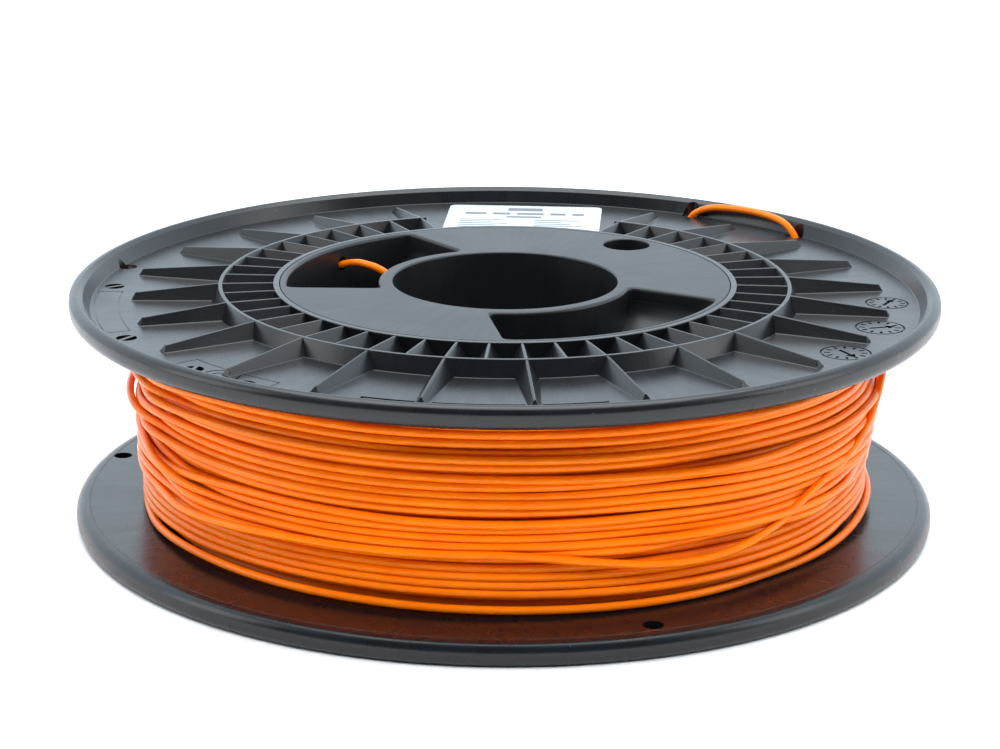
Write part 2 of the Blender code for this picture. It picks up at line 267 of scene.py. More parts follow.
def rounded(corners, arc_points=5):
    """A closed outline through (x, y, rounding) corners, each rounded corner made an arc."""
    outline = []
    count = len(corners)
    for i, (x, y, radius) in enumerate(corners):
        here = Vector((x, y))
        before = (Vector(corners[i - 1][:2]) - here).normalized()
        after = (Vector(corners[(i + 1) % count][:2]) - here).normalized()
        if radius == 0:
            outline.append((x, y))
            continue
        half = before.angle(after) / 2
        centre = here + (before + after).normalized() * radius / math.sin(half)
        start = here + before * radius / math.tan(half) - centre
        end = here + after * radius / math.tan(half) - centre
        sweep = math.atan2(start.x * end.y - start.y * end.x, start.dot(end))
        for k in range(arc_points + 1):
            turn = sweep * k / arc_points
            spoke_x = start.x * math.cos(turn) - start.y * math.sin(turn)
            spoke_y = start.x * math.sin(turn) + start.y * math.cos(turn)
            outline.append((centre.x + spoke_x, centre.y + spoke_y))
    return outline


def prism(name, outline, low, high):
    """A flat outline raised from low to high."""
    rings = [[(x, y, z) for x, y in outline] for z in (low, high)]
    return skin(name, rings, False)


def round_outline(x, y, radius, sides=32):
    """A circle's points about (x, y)."""
    points = [at_bearing(radius, 360.0 * i / sides) for i in range(sides)]
    return [(x + point.x, y + point.y) for point in points]


def bar_outline(x, y, length, width, bearing):
    """A rectangle about (x, y) whose long side lies along the bearing."""
    along = at_bearing(length / 2, bearing)
    across = at_bearing(width / 2, bearing + 90.0)
    signs = ((1, 1), (-1, 1), (-1, -1), (1, -1))
    return [
        (x + a * along.x + b * across.x, y + a * along.y + b * across.y) for a, b in signs
    ]


def joined(name, objects):
    """One object that holds all of these bodies."""
    made = bmesh.new()
    for obj in objects:
        made.from_mesh(obj.data)
        bpy.data.objects.remove(obj)
    mesh = bpy.data.meshes.new(name)
    made.to_mesh(mesh)
    made.free()
    obj = bpy.data.objects.new(name, mesh)
    bpy.context.scene.collection.objects.link(obj)
    return obj


def boolean(obj, other, operation, self_overlap=False):
    """Cuts or joins the other body, and keeps the result as the object's mesh."""
    step = obj.modifiers.new(other.name, "BOOLEAN")
    step.object = other
    step.operation = operation
    step.solver = "EXACT"
    step.use_self = self_overlap
    bpy.context.view_layer.update()
    graph = bpy.context.evaluated_depsgraph_get()
    result = bpy.data.meshes.new_from_object(obj.evaluated_get(graph))
    obj.modifiers.clear()
    obj.data = result
    bpy.data.objects.remove(other)


def shade(obj, sharp_over=32.0):
    """Smooth shading that keeps large flat faces flat and leaves steep edges sharp."""
    obj.data.shade_smooth()
    obj.data.set_sharp_from_angle(angle=math.radians(sharp_over))
    weighted = obj.modifiers.new("Weighted normals", "WEIGHTED_NORMAL")
    weighted.keep_sharp = True
    weighted.weight = 80


def turned_over(obj, name):
    """The lower side's copy: half a turn about the drive hole's axis, at mid-height."""
    copy = bpy.data.objects.new(name, obj.data.copy())
    bpy.context.scene.collection.objects.link(copy)
    middle = Matrix.Translation((0.0, 0.0, HEIGHT / 2))
    half_turn = Matrix.Rotation(math.pi, 4, at_bearing(1.0, HUB_AXIS))
    copy.data.transform(middle @ half_turn @ middle.inverted())
    return copy


def finish_piece(obj, material, slot, *nodes):
    """Gives a piece its material, and hides the CAD nodes that it stands for."""
    obj.data.materials.clear()
    obj.data.materials.append(material)
    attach(obj, "root")
    if nodes:
        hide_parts(*nodes)


# --- Flange -------------------------------------------------------------------


def flange_body():
    ring_in = HUB_R + RING_GAP
    wall_in = RING_WALL_R - RING_WALL_THICK
    flare = RING_WALL_DRAFT * (HEIGHT - PLATE_Z)
    corners = [
        (ring_in, HEIGHT, EDGE_ROUND),
        (DRUM_R, HEIGHT, EDGE_ROUND),
        (DRUM_R + 0.1 * MM, PLATE_Z, FOOT_ROUND),
        (wall_in - flare, PLATE_Z, FOOT_ROUND),
        (wall_in, HEIGHT, EDGE_ROUND),
        (RING_WALL_R, HEIGHT, EDGE_ROUND),
        (RING_WALL_R + flare, PLATE_Z, FOOT_ROUND),
        (RIM_FOOT_R, PLATE_Z, FOOT_ROUND),
        (RIM_CREST_R, HEIGHT - RIM_CREST_DROP, 0.5 * MM),
        (RIM_TOP_R, HEIGHT, 0.8 * MM),
        (FLANGE_R, HEIGHT, RIM_TOP_ROUND),
        (FLANGE_R, INNER_FACE_Z, RIM_ROUND),
        (BEAD_R, INNER_FACE_Z, 0.05 * MM),
        (BEAD_R - BEAD_DEPTH, INNER_FACE_Z + BEAD_DEPTH, 0.05 * MM),
        (BEAD_R - 2 * BEAD_DEPTH, INNER_FACE_Z, 0.05 * MM),
        (ring_in, INNER_FACE_Z, 0),
    ]
    return turned("upper_flange_body", rounded(corners))


def bay_cutter():
    """Takes the ring wall out of the label bay, up to the ribs at its ends."""
    half = LABEL_BAY_HALF - BAY_INSET
    near = RING_WALL_R - BAY_CUT_REACH
    far = RING_WALL_R + BAY_CUT_REACH
    outline = arc_outline(near, far, LABEL_BEARING - half, LABEL_BEARING + half)
    return prism("bay_cutter", outline, PLATE_Z - BAY_CUT_DEPTH, HEIGHT + MM)


def rib_height(radius):
    """Full height as far as the ring wall, then an even fall to the rib's outer end."""
    full = HEIGHT - RIB_DROP - PLATE_Z
    if radius <= RING_WALL_R:
        return full
    share = (radius - RING_WALL_R) / (LONG_RIB_R - RING_WALL_R)
    return full + (RIB_END_HEIGHT - full) * share


def rib_half_section(height):
    """(half width, height above the plate), up one drafted side from its flared foot."""
    def half_width(level):
        return RIB_TOP / 2 + RIB_DRAFT * (height - level)

    flare = ((-0.8, 0.26), (-0.02, 0.26), (0.03, 0.12), (0.1, 0.04), (0.24, 0.0))
    section = [(half_width(z * MM) + out * MM, z * MM) for z, out in flare]
    crown = ((-0.04, 0.34), (0.04, 0.16), (0.14, 0.05), (0.28, 0.0))
    section += [(RIB_TOP / 2 - inset * MM, height - drop * MM) for inset, drop in crown]
    return section


def rib(bearing, outer_r):
    """One drafted rib: thin at its rounded top, wide at its foot, with a pointed outer end."""
    open_end = outer_r > RING_WALL_R
    stations = [(RIB_START_R, 1.0, 0.0), (RING_WALL_R, 1.0, 0.0)]
    if open_end:
        stations += [(outer_r - RIB_TIP, 1.0, 1.0), (outer_r, 0.8, 1.0)]
    else:
        stations[1] = (outer_r, 1.0, 0.0)
    spin = Matrix.Rotation(math.radians(bearing), 3, "Z")
    rings = []
    for radius, narrowing, lean in stations:
        section = rib_half_section(rib_height(radius))
        ring = []
        for side, half in ((-1, section), (1, section[::-1])):
            for width, level in half:
                along = radius - lean * RIB_DRAFT * max(level, 0.0)
                point = Vector((along, side * width * narrowing, PLATE_Z + level))
                ring.append(spin @ point)
        rings.append(ring)
    return skin("rib", rings, False)


def all_ribs():
    """A short rib at each step round the ladder, every second one long."""
    first = LABEL_BEARING + LABEL_BAY_HALF
    count = round((360.0 - 2 * LABEL_BAY_HALF) / RIB_STEP) + 1
    ribs = []
    for i in range(count):
        bearing = (first + i * RIB_STEP) % 360.0
        outer_r = RING_WALL_R - RING_WALL_THICK / 2
        if i % 2 == 0:
            outer_r = BLUNT_RIB_R if bearing in BLUNT_RIBS else LONG_RIB_R
        ribs.append(rib(bearing, outer_r))
    return joined("ribs", ribs)


def engraved(outline, depth):
    """A cutter that takes an outline out of the plate to this depth."""
    return prism("engraving", outline, PLATE_Z - depth, PLATE_Z + MM)


def moulding_mark_pit(bearing, radius, bar_bearing):
    """A round pit left by a mould insert, with a slanted bar standing in it."""
    centre = at_bearing(radius, bearing)
    pit = engraved(round_outline(centre.x, centre.y, PIT_R), PIT_DEPTH)
    bar = bar_outline(centre.x, centre.y, 2 * PIT_R + MM, PIT_BAR, bar_bearing)
    boolean(pit, prism("bar", bar, PLATE_Z - 2 * MM, PLATE_Z + 2 * MM), "DIFFERENCE")
    return pit


def ring_groove(centre, size):
    """A shallow round groove in the plate."""
    inner = size - 0.45 * MM
    groove = rounded([(inner, 0.0, 0), (size, 0.0, 0), (size, MM, 0), (inner, MM, 0)])
    ring = turned("ring_groove", groove, 64)
    ring.data.transform(Matrix.Translation((centre.x, centre.y, PLATE_Z - 0.35 * MM)))
    return ring


def dial(bearing, radius, size, pointer):
    """A recessed date dial: a groove round it, twelve ticks and a pointer."""
    centre = at_bearing(radius, bearing)
    cuts = [ring_groove(centre, size)]
    for i in range(12):
        spoke = at_bearing(size * 0.72, 30.0 * i)
        tick = bar_outline(centre.x + spoke.x, centre.y + spoke.y, size * 0.24, 0.6 * MM, 30.0 * i)
        cuts.append(engraved(tick, 0.35 * MM))
    shaft = bar_outline(centre.x, centre.y, size * 0.9, 0.8 * MM, pointer)
    cuts.append(engraved(shaft, 0.45 * MM))
    tip = at_bearing(size * 0.42, pointer)
    head = [at_bearing(size * 0.26, pointer + turn) for turn in (0.0, 120.0, 240.0)]
    cuts.append(
        engraved([(centre.x + tip.x + p.x, centre.y + tip.y + p.y) for p in head], 0.38 * MM)
    )
    return cuts


def arc_outline(inner_r, outer_r, first, last, points=24):
    """A band between two radii and two bearings."""
    steps = [first + (last - first) * i / (points - 1) for i in range(points)]
    outer = [at_bearing(outer_r, bearing) for bearing in steps]
    inner = [at_bearing(inner_r, bearing) for bearing in reversed(steps)]
    return [(point.x, point.y) for point in outer + inner]


def frame_outline_cuts(first, last, inner_r, outer_r, width, depth):
    """The outline of a mould insert: four shallow lines."""
    cuts = [
        engraved(arc_outline(inner_r, inner_r + width, first, last), depth),
        engraved(arc_outline(outer_r - width, outer_r, first, last), depth),
    ]
    for bearing in (first, last):
        middle = at_bearing((inner_r + outer_r) / 2, bearing)
        line = bar_outline(middle.x, middle.y, outer_r - inner_r, width, bearing)
        cuts.append(engraved(line, depth * 1.1))
    return cuts


def generic_legend(first, last, radius, depth):
    """A row of plain bars of uneven length, in place of a moulded legend."""
    cuts = []
    bearing = first
    for length in itertools.cycle(LEGEND_LENGTHS):
        turn = math.degrees(length * MM / radius)
        if bearing + turn > last:
            return cuts
        bar = arc_outline(radius, radius + LEGEND_HEIGHT, bearing, bearing + turn, 4)
        cuts.append(engraved(bar, depth))
        bearing += turn + math.degrees(LEGEND_GAP / radius)


def plate_marks():
    """All shallow marks on the flange plate, as one cutter."""
    cuts = [moulding_mark_pit(*pit) for pit in MARK_PITS]
    for insert in INSERT_OUTLINES:
        cuts += frame_outline_cuts(*insert)
    cuts += generic_legend(257.0, 285.0, 89.2 * MM, 0.3 * MM)
    for bearing in (256.0, 286.0):
        centre = at_bearing(88.0 * MM, bearing)
        cuts.append(engraved(round_outline(centre.x, centre.y, 0.8 * MM, 16), 0.5 * MM))
    for size in EMBLEM_RINGS:
        cuts.append(ring_groove(at_bearing(EMBLEM_R, EMBLEM_BEARING), size))
    for date_mark in DATE_DIALS:
        cuts += dial(*date_mark)
    return joined("plate_marks", cuts)


def hole_cutters(holes):
    """Holes that take the filament's ends, each biting into the rim's slope."""
    cutters = []
    for bearing, radius in holes:
        centre = at_bearing(radius, bearing)
        outline = round_outline(centre.x, centre.y, END_HOLE_R)
        cutters.append(prism("hole", outline, INNER_FACE_Z - MM, HEIGHT + MM))
    return cutters


def start_drill():
    """A drill, tilted down outwards, for the filament's inner end."""
    spin = Matrix.Rotation(math.radians(START_BEARING), 4, "Z")
    tilt = Matrix.Rotation(math.radians(90.0 + START_TILT), 4, "Y")
    place = Matrix.Translation(at_bearing(DRUM_R - DRUM_WALL, START_BEARING, START_Z))
    drill = prism("start_drill", round_outline(0.0, 0.0, START_HOLE_R, 24), -4 * MM, 4 * MM)
    drill.data.transform(place @ spin @ tilt)
    return drill


def build_flanges(material):
    upper = flange_body()
    boolean(upper, bay_cutter(), "DIFFERENCE")
    boolean(upper, plate_marks(), "DIFFERENCE", self_overlap=True)
    boolean(upper, all_ribs(), "UNION")
    upper.name = "upper_flange_moulding"
    for cutter in hole_cutters(UPPER_HOLES[:2]):
        boolean(upper, cutter, "DIFFERENCE")
    lower = turned_over(upper, "lower_flange_moulding")
    for cutter in hole_cutters(UPPER_HOLES[2:]):
        boolean(upper, cutter, "DIFFERENCE")
    for bearing, radius in LOWER_HOLES:
        centre = at_bearing(radius, bearing)
        outline = round_outline(centre.x, centre.y, END_HOLE_R)
        boolean(lower, prism("hole", outline, -MM, RIM_HEIGHT + MM), "DIFFERENCE")
    boolean(upper, start_drill(), "DIFFERENCE")
    for piece, node in ((upper, "upper_flange"), (lower, "lower_flange")):
        shade(piece)
        finish_piece(piece, material, "black_plastic", node)


# --- Hub insert -----------------------------------------------------------------


def smoothed(values, spread):
    """Evens out values that go round in a loop."""
    reach = math.ceil(3 * spread)
    offsets = range(-reach, reach + 1)
    weights = [math.exp(-0.5 * (offset / spread) ** 2) for offset in offsets]
    total = sum(w * np.roll(values, offset, axis=0) for w, offset in zip(weights, offsets))
    return total / sum(weights)


def sector_loop(centre, inner_r, inner_half, outer_r, outer_half, spread, points=360):
    """A ring sector with straight sides and softly rounded corners, as evenly spaced points."""
    rough = []
    for i in range(60):
        rough.append(at_bearing(outer_r, centre - outer_half + 2 * outer_half * i / 59))
    for i in range(60):
        rough.append(at_bearing(inner_r, centre + inner_half - 2 * inner_half * i / 59))
    rough = np.array([(p.x, p.y) for p in rough + rough[:1]])
    walked = np.concatenate([[0.0], np.cumsum(np.linalg.norm(np.diff(rough, axis=0), axis=1))])
    even = np.linspace(0.0, walked[-1], points, endpoint=False)
    loop = np.stack([np.interp(even, walked, rough[:, k]) for k in (0, 1)], axis=1)
    return smoothed(loop, spread * points / walked[-1])


def grown(loop, distance):
    """The loop moved outwards by this distance; the loop runs anticlockwise."""
    tangent = np.roll(loop, -1, axis=0) - np.roll(loop, 1, axis=0)
    tangent /= np.linalg.norm(tangent, axis=1, keepdims=True)
    return loop + distance * np.stack([tangent[:, 1], -tangent[:, 0]], axis=1)


def flared_cutter(name, loop, low, edge):
    """A straight cutter whose top flares, which leaves a rounded edge in the disc."""
    rings = [(loop, low)]
    for step in range(7):
        angle = math.radians(15.0 * step)
        z = HEIGHT - edge + edge * math.sin(angle)
        rings.append((grown(loop, edge * (1 - math.cos(angle))), z))
    rings.append((grown(loop, edge), HEIGHT + 2 * MM))
    stacked = [np.column_stack([ring, np.full(len(ring), z)]) for ring, z in rings]
    return skin(name, stacked, False)


def well_cove(centre, side):
    """A shell that curves from a well's side wall out under the well."""
    inner = at_bearing(BORE_R + BORE_WALL / 2, centre + side * WELL_HALF_IN)
    outer = at_bearing(HUB_R - SKIRT_WALL / 2, centre + side * WELL_HALF_OUT)
    along = (outer - inner).normalized()
    across = Vector((along.y, -along.x, 0.0)) * side
    top = HEIGHT - DISC_THICK
    steps = [math.radians(COVE_SWEEP * i / 12) for i in range(13)]
    section = [(0.0, angle) for angle in steps]
    section += [(COVE_THICK, angle) for angle in reversed(steps)]
    rings = []
    for end in (inner, outer):
        ring = []
        for below, angle in section:
            point = end + across * (COVE_REACH - (COVE_REACH + below) * math.cos(angle))
            ring.append((point.x, point.y, top - (COVE_DROP + below) * math.sin(angle)))
        rings.append(ring)
    return skin("well_cove", rings, False)


def hub_body(male):
    mating_z = HEIGHT / 2 + JOINT_GAP / 2
    if male:
        step_r = BORE_R + SPIGOT_WALL
        end_z = mating_z - SPIGOT_LENGTH
    else:
        step_r = BORE_R + SPIGOT_WALL + JOINT_GAP
        end_z = mating_z + SPIGOT_LENGTH + JOINT_GAP
    corners = [
        (BORE_R, HEIGHT, 0.5 * MM),
        (HUB_R, HEIGHT, 0.3 * MM),
        (HUB_R, mating_z, EDGE_ROUND),
        (step_r, mating_z, 0),
        (step_r, end_z, 0),
        (BORE_R, end_z, 0),
    ]
    return turned("hub_body", rounded(corners))


def build_hub(name, male):
    hub = hub_body(male)
    low = HEIGHT / 2 - 5 * MM
    inner_r = BORE_R + BORE_WALL
    outer_r = HUB_R - SKIRT_WALL
    wall_in = math.degrees(WELL_WALL / inner_r) + 0.3
    wall_out = math.degrees(WELL_WALL / outer_r) + 0.2
    for centre in (HUB_AXIS + WELL_OFF_AXIS, HUB_AXIS - WELL_OFF_AXIS):
        loop = sector_loop(centre, inner_r, WELL_HALF_IN, outer_r, WELL_HALF_OUT, 1.3 * MM)
        boolean(hub, flared_cutter("well", loop, low, WELL_EDGE), "DIFFERENCE")
        boolean(hub, well_cove(centre, 1.0 if centre < HUB_AXIS else -1.0), "UNION")
    for centre, reach in ((HUB_AXIS, WELL_OFF_AXIS), (HUB_AXIS + 180.0, 180.0 - WELL_OFF_AXIS)):
        half_in = reach - WELL_HALF_IN - wall_in
        half_out = reach - WELL_HALF_OUT - wall_out
        loop = sector_loop(centre, inner_r, half_in, outer_r, half_out, 0.8 * MM)
        boolean(hub, prism("chamber", loop.tolist(), low, HEIGHT - DISC_THICK), "DIFFERENCE")
    place = at_bearing(DRIVE_HOLE_AT, HUB_AXIS)
    boss = round_outline(place.x, place.y, DRIVE_HOLE_R + DRIVE_BOSS_WALL, 64)
    boolean(hub, prism("boss", boss, HEIGHT / 2 + JOINT_GAP, HEIGHT - MM), "UNION")
    hole = np.array(round_outline(place.x, place.y, DRIVE_HOLE_R, 64))
    boolean(hub, flared_cutter("drive_hole", hole, low, 0.4 * MM), "DIFFERENCE")
    hub.name = name
    return hub


def build_hubs(material):
    upper = build_hub("upper_hub_insert", True)
    boolean(upper, start_drill(), "DIFFERENCE")
    female = build_hub("hub_half", False)
    lower = turned_over(female, "lower_hub_insert")
    bpy.data.objects.remove(female)
    for piece, node in ((upper, "upper_hub"), (lower, "lower_hub")):
        shade(piece)
        finish_piece(piece, material, "hub_plastic", node)


def build_drum(material):
    low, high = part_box("core_drum")
    inner = DRUM_R - DRUM_WALL
    edge = 0.15 * MM
    corners = [
        (inner, high.z, edge),
        (DRUM_R, high.z, edge),
        (DRUM_R, low.z, edge),
        (inner, low.z, edge),
    ]
    drum = turned("core_drum_tube", rounded(corners, 3))
    boolean(drum, start_drill(), "DIFFERENCE")
    shade(drum)
    finish_piece(drum, material, "drum_plastic", "core_drum")


# --- Winding ----------------------------------------------------------------------


def soft_step(share, centre, width):
    """0 before the zone, 1 after it, and an even bend between."""
    t = np.clip((share - centre) / width + 0.5, 0.0, 1.0)
    return t * t * (3 - 2 * t)


def resting_radius(pile, levels, height):
    """How far out a strand's centre lies if it rests at this height, at each bearing."""
    place = (height - levels[0]) / LEVEL_STEP
    index = np.clip(place.astype(int), 0, len(levels) - 2)
    share = np.clip(place - index, 0.0, 1.0)
    row = np.arange(len(height))
    return pile[row, index] * (1 - share) + pile[row, index + 1] * share


def settle(pile, levels, wanted):
    """Lets a turn slip sideways into the nearest groove. Gives its heights and radii."""
    probe = 0.1 * MM
    height = np.clip(wanted, levels[0], levels[-1])
    for _ in range(10):
        above = resting_radius(pile, levels, height + probe)
        below = resting_radius(pile, levels, height - probe)
        slope = (above - below) / (2 * probe)
        drift = np.clip(height - SLIP * slope - wanted, -MOST_SLIP, MOST_SLIP)
        height = np.clip(wanted + smoothed(drift, 2.0), levels[0], levels[-1])
    radius = resting_radius(pile, levels, height)
    taut = np.maximum.reduce([np.roll(radius, shift) for shift in range(-2, 3)])
    return height, smoothed(taut, 1.5)


def raise_pile(pile, levels, height, radius):
    """Adds a laid turn to the pile."""
    offset = levels[None, :] - height[:, None]
    over = np.sqrt(np.maximum(STRAND_D**2 - offset**2, 0.0))
    lifted = np.where(np.abs(offset) < STRAND_D, radius[:, None] + over, 0.0)
    np.maximum(pile, lifted, out=pile)


def layer_habits(rng):
    """How the machine wanders within one layer: slowly, so that neighbouring turns agree."""
    return {
        "drift": rng.uniform(0.0, math.tau, 2),
        "waves": [(waves, *rng.uniform(0.0, math.tau, 2)) for waves in (1, 2, 3, 4)],
    }


def turn_wanted(share, turn, first, last, habits, unrest):
    """Where the machine leads a turn: from one row to the next, in two step-over zones."""
    wander = [ZONE_WANDER * math.sin(0.3 * turn + start) for start in habits["drift"]]
    left = soft_step(share, LEFT_ZONE + wander[0], LEFT_WIDTH)
    right = soft_step(share, RIGHT_ZONE + wander[1], RIGHT_WIDTH)
    crossing = abs(last - first) > 1.01
    row = first + (last - first) * (left if crossing else (left + right) / 2)
    for waves, swing, start in habits["waves"]:
        size = WAVE_SIZE * unrest * math.sin(0.28 * turn + swing)
        row = row + size * np.sin(math.tau * waves * share + start + 0.08 * turn)
    return row


def row_order(layer):
    """The rows that a layer's turns visit, with a few turns that cross over their neighbour."""
    if layer % 2 == 0:
        return [float(row) for row in range(ROWS)]
    rows = [ROWS - 1.5 - row for row in range(ROWS - 1)]
    if layer == LAYERS - 1:
        rows = [row for row in rows if row > END_ROW - 0.1]
        for early in CROSSED_TURNS:
            rows[early], rows[early + 1] = rows[early + 1], rows[early]
    return rows


def parted(row, share):
    """Opens a gap in the last layer's rows, where its turns have slipped apart."""
    dip = np.exp(-(((share - PARTING_SHARE) / PARTING_WIDTH) ** 2))
    away = row - PARTING_ROW
    return row + 0.9 * dip * np.sign(away) * np.exp(-np.abs(away) / 2.5)


def layer_routes(layer, share, habits):
    """The row that each of a layer's turns is led along, at each bearing."""
    rows = row_order(layer)
    turning_back = rows[-1] - 0.5 if layer % 2 == 0 else rows[-1] + 0.5
    for turn, (first, last) in enumerate(zip(rows, rows[1:] + [turning_back])):
        row = turn_wanted(share, turn, first, last, habits, ROW_UNREST[layer])
        yield parted(row, share) if layer == LAYERS - 1 else row


def wound_path():
    """The strand's route through the two outermost layers, and its height range."""
    rng = np.random.default_rng(SEED)
    low = RIM_HEIGHT + STRAND_R + FLANGE_CLEARANCE
    high = INNER_FACE_Z - STRAND_R - FLANGE_CLEARANCE
    pitch = (high - low) / (ROWS - 1)
    levels = np.arange(low, high + LEVEL_STEP / 2, LEVEL_STEP)
    share = np.arange(TURN_STEPS) / TURN_STEPS
    rise = math.sqrt(STRAND_D**2 - (pitch / 2) ** 2)
    base = WINDING_R - STRAND_R - 3 * rise
    swell = SWELL * (1 - soft_step(levels, low + SWELL_TOP, SWELL_FADE))
    pile = np.full((TURN_STEPS, len(levels)), base) + swell[None, :]
    heights, radii = [], []
    for layer in range(LAYERS):
        habits = layer_habits(rng)
        for row in layer_routes(layer, share, habits):
            height, radius = settle(pile, levels, low + pitch * row)
            raise_pile(pile, levels, height, radius)
            if layer >= LAYERS - DRAWN_LAYERS:
                heights.append(height)
                radii.append(radius)
    heights, radii = np.concatenate(heights), np.concatenate(radii)
    inwards = np.percentile(radii, 85) + STRAND_R - WINDING_R
    return heights, radii - inwards, base + 1.5 * rise - inwards


def lead_to_end(heights, radii, samples):
    """Turns the last stretch up towards the point where the free end leaves the winding."""
    tail = LEAD_OUT_STEPS
    start_z, start_r = heights[samples - tail], radii[samples - tail]
    end_knots = outer_end_route()
    end_z, end_r = end_knots[0][2], end_knots[0][1]
    slope = (end_knots[1][2] - end_knots[0][2]) / (end_knots[1][0] - end_knots[0][0])
    for k in range(tail):
        t = (k + 1) / tail
        run = tail * 360.0 / TURN_STEPS
        z = start_z * (2 * t**3 - 3 * t**2 + 1) + end_z * (3 * t**2 - 2 * t**3)
        z += slope * run * (t**3 - t**2)
        heights[samples - tail + k] = z
        radii[samples - tail + k] = start_r + (end_r - start_r) * t * t * (3 - 2 * t)
    return heights[:samples], radii[:samples]


def tube(name, points, radius, sides):
    """A round strand along its points, its cross-section carried along without twist."""
    points = np.asarray(points, float)
    tangents = np.gradient(points, axis=0)
    tangents /= np.linalg.norm(tangents, axis=1, keepdims=True)
    normal = np.cross(tangents[0], (0.0, 0.0, 1.0))
    normals = []
    for tangent in tangents:
        normal = normal - tangent * normal.dot(tangent)
        normal = normal / np.linalg.norm(normal)
        normals.append(normal)
    normals = np.array(normals)
    sideways = np.cross(tangents, normals)
    angles = np.arange(sides) * math.tau / sides
    rings = (
        points[:, None, :]
        + radius * np.cos(angles)[None, :, None] * normals[:, None, :]
        + radius * np.sin(angles)[None, :, None] * sideways[:, None, :]
    )
    return skin(name, rings, False)


def evened(values):
    """Evens out values along a row that has two ends."""
    kernel = np.exp(-0.5 * (np.arange(-4, 5) / 1.5) ** 2)
    kernel /= kernel.sum()
    return np.convolve(np.pad(values, 4, mode="edge"), kernel, mode="valid")


def build_winding(material):
    heights, radii, under_r = wound_path()
    heights, radii = evened(heights), evened(radii)
    risen = soft_step(np.arange(len(radii)), LEAD_IN_STEPS / 2, LEAD_IN_STEPS)
    radii = under_r + (radii - under_r) * risen
    turns = len(heights) // TURN_STEPS
    last_share = (END_BEARING + 360.0 - SEAM_BEARING) / 360.0
    samples = int((turns - 1) * TURN_STEPS + round(last_share * TURN_STEPS)) + 1
    heights, radii = lead_to_end(heights, radii, samples)
    bearings = np.radians(SEAM_BEARING + 360.0 * np.arange(samples) / TURN_STEPS)
    bearings[-1] = math.radians(END_BEARING)
    points = np.stack([radii * np.cos(bearings), radii * np.sin(bearings), heights], axis=1)
    strand = tube("filament_turns", points, PRESSED_R, 10)
    strand.data.shade_smooth()
    finish_piece(strand, material, "orange_filament", "filament_winding")
    build_inner_layers(material, under_r)


def build_inner_layers(material, strand_r):
    """The turns under the two outer layers, as one body with their ridges round it."""
    low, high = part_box("filament_winding")
    inner = DRUM_R + JOINT_GAP
    pitch = (high.z - low.z) / ROWS
    profile = [(inner, high.z)]
    for row in reversed(range(ROWS)):
        middle = low.z + (row + 0.5) * pitch
        for step in range(7):
            angle = math.radians(75.0 - 25.0 * step)
            bulge = STRAND_R * math.cos(angle)
            profile.append((strand_r + bulge, middle + pitch / 2 * math.sin(angle)))
    profile.append((inner, low.z))
    layers = turned("filament_inner_layers", profile, 180)
    shade(layers, 60.0)
    finish_piece(layers, material, "orange_filament", "filament_winding")


def smooth_route(knots, spacing):
    """Points at an even spacing on the smooth curve through (bearing, radius, height) knots."""
    corners = [at_bearing(radius, bearing, z) for bearing, radius, z in knots]
    row = [corners[0] * 2 - corners[1]] + corners + [corners[-1] * 2 - corners[-2]]
    fine = []
    for a, b, c, d in zip(row, row[1:], row[2:], row[3:]):
        for step in range(24):
            t = step / 24
            bend = (2 * a - 5 * b + 4 * c - d) * t**2 + (3 * b - a - 3 * c + d) * t**3
            fine.append(0.5 * (2 * b + (c - a) * t + bend))
    fine.append(corners[-1])
    fine = np.array(fine)
    walked = np.concatenate([[0.0], np.cumsum(np.linalg.norm(np.diff(fine, axis=0), axis=1))])
    even = np.linspace(0.0, walked[-1], round(walked[-1] / spacing) + 1)
    return np.stack([np.interp(even, walked, fine[:, k]) for k in range(3)], axis=1)


def outer_end_route():
    """Off the winding, up through one flange hole, over, and down through the next."""
    return [
        (-44.5, 87.4 * MM, 19.0 * MM),
        (-36.5, 87.4 * MM, 24.0 * MM),
        (-28.5, 87.4 * MM, 27.0 * MM),
        (-20.5, 87.4 * MM, 30.5 * MM),
        (-13.0, 87.4 * MM, 35.0 * MM),
        (-5.0, 87.5 * MM, 39.0 * MM),
        (8.0, 88.4 * MM, 42.6 * MM),
        (22.0, 90.4 * MM, 44.6 * MM),
        (34.0, 92.8 * MM, 45.4 * MM),
        (39.5, 94.0 * MM, 46.6 * MM),
        (41.9, 94.5 * MM, 49.2 * MM),
        (43.2, 94.5 * MM, 52.2 * MM),
        (46.0, 94.3 * MM, 54.5 * MM),
        (52.0, 94.2 * MM, 55.2 * MM),
        (58.5, 94.3 * MM, 54.4 * MM),
        (61.9, 94.7 * MM, 52.2 * MM),
        (63.4, 94.9 * MM, 49.4 * MM),
        (65.8, 94.7 * MM, 46.8 * MM),
        (71.0, 93.8 * MM, 45.4 * MM),
    ]


def inner_end_route():
    """Out of the start hole, over the well, and down beside the bore tube."""
    return [
        (START_BEARING, 52.9 * MM, 49.1 * MM),
        (START_BEARING, 50.4 * MM, 50.4 * MM),
        (144.6, 46.4 * MM, 51.4 * MM),
        (144.3, 42.9 * MM, 51.4 * MM),
        (144.0, 39.9 * MM, 51.0 * MM),
        (143.0, 36.8 * MM, 49.6 * MM),
        (142.0, 34.0 * MM, 46.6 * MM),
        (141.5, 32.0 * MM, 42.0 * MM),
    ]


def build_ends(material):
    routes = (("outer", outer_end_route()), ("inner", inner_end_route()))
    for side, knots in routes:
        strand = tube(f"{side}_end_strand", smooth_route(knots, 0.6 * MM), STRAND_R, 16)
        shade(strand, 60.0)
        finish_piece(strand, material, "orange_filament", f"filament_{side}_end")


# --- Label ------------------------------------------------------------------------


